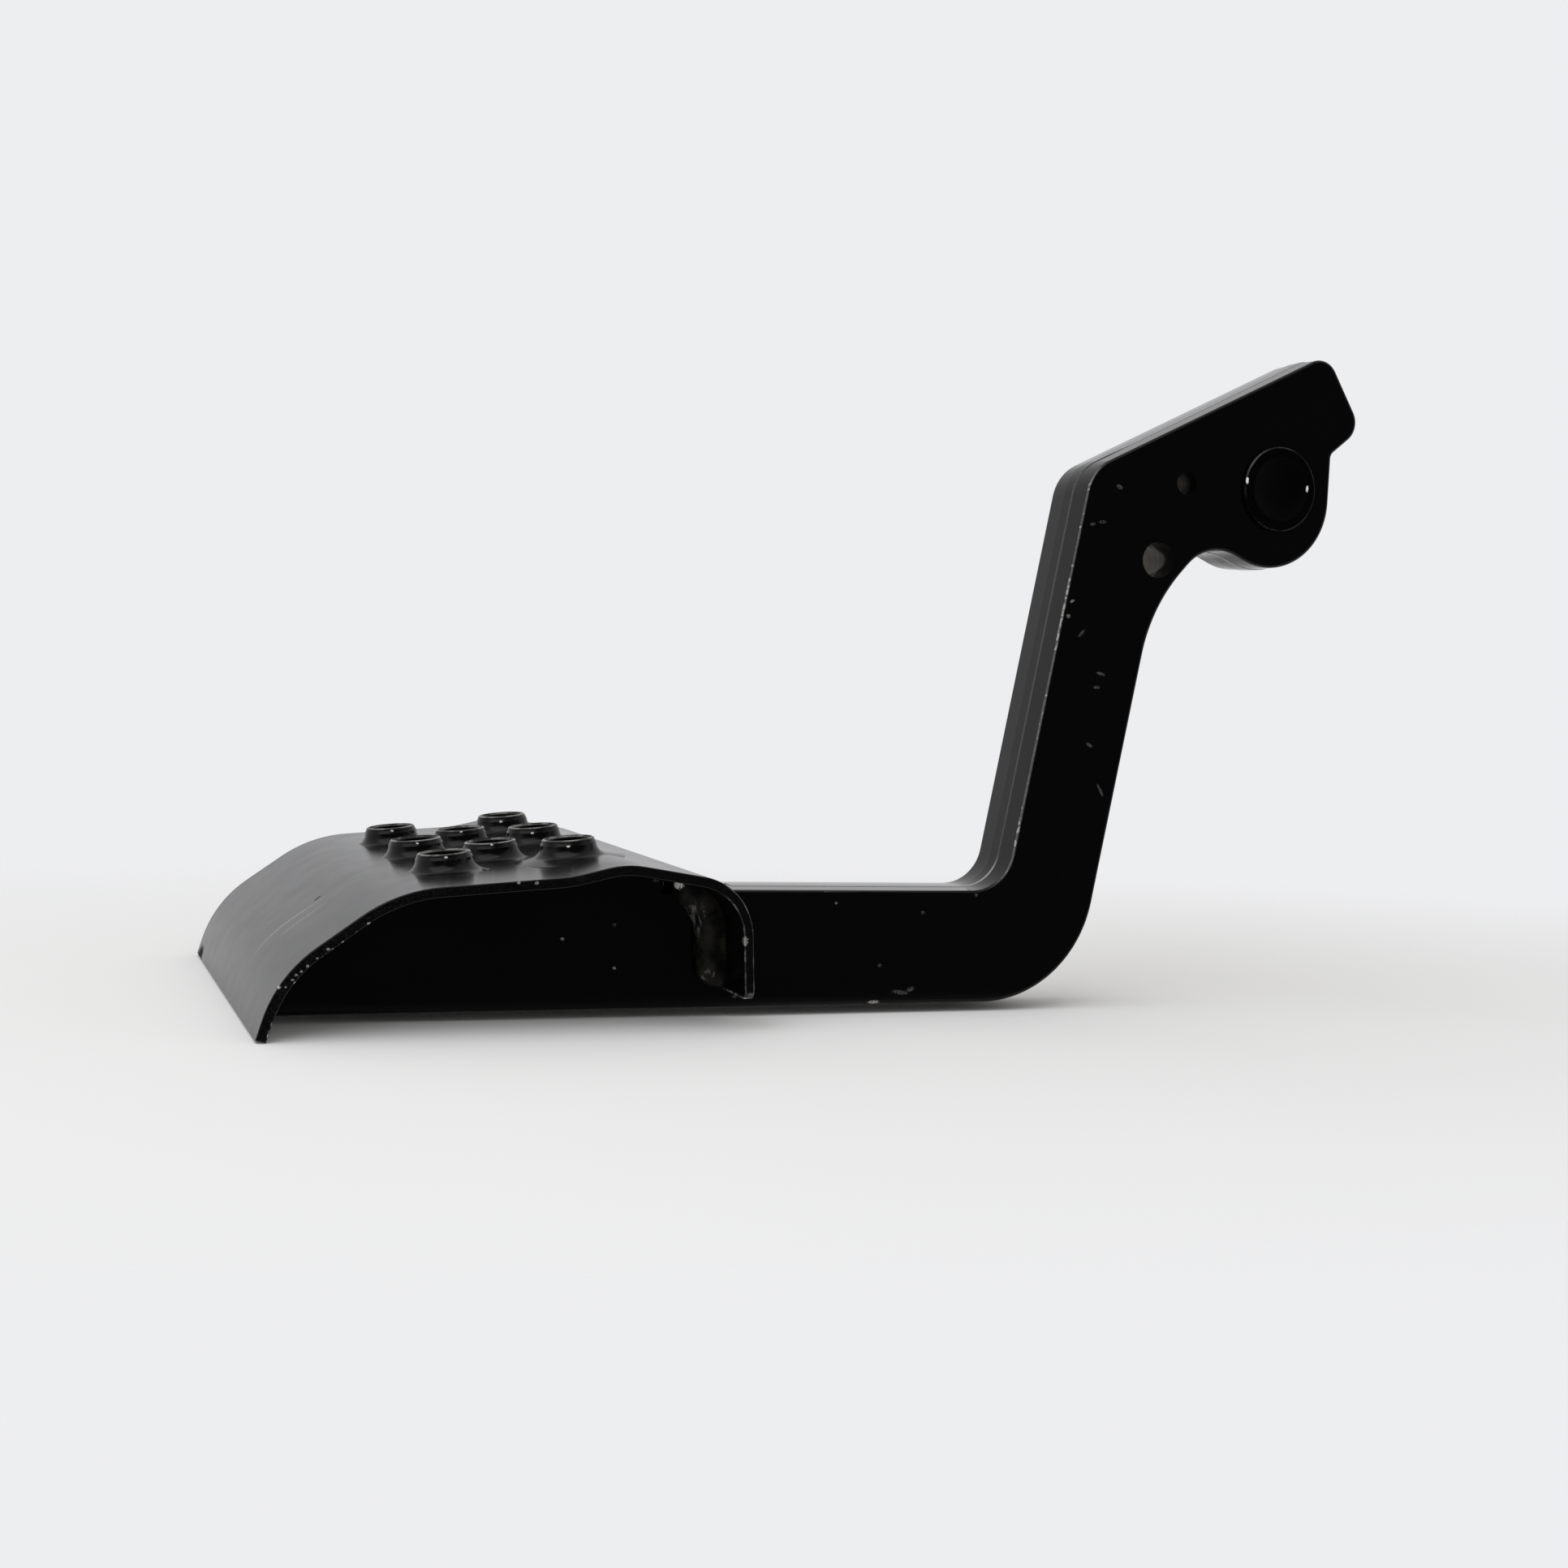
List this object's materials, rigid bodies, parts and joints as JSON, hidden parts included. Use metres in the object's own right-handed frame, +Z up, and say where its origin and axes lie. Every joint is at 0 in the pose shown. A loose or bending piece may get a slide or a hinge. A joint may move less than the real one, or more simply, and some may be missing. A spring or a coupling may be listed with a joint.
{
  "type": "rear brake pedal",
  "caption": "Cranked foot lever for a motorcycle's rear brake: forged arm with a bushed pivot eye, rod and spring holes, and a studded pressed tread welded to its foot.",
  "frame": {"origin": "centre of the pivot bore, half way through the lever's thickness", "axes": "+X from the tread towards the pivot, along the foot bar; +Y along the pivot bore, towards the side where most of the tread stands out; +Z up, with the tread's studs on top"},
  "size_m": [0.1931, 0.0849, 0.117],
  "materials": {
    "lever_paint": "gloss black paint over forged steel, chipped along its edges",
    "tread_paint": "gloss black paint over pressed sheet, scuffed and worn through at the cut edges",
    "bush_paint": "painted over steel, rubbed bright on its rim",
    "weld_paint": "black paint over weld metal, scraped on its ripples"
  },
  "bodies": {
    "root": {"lever": "lever_paint", "tread_plate": "tread_paint", "pivot_bush": "bush_paint", "flange_welds": "weld_paint"}
  },
  "joints": []
}
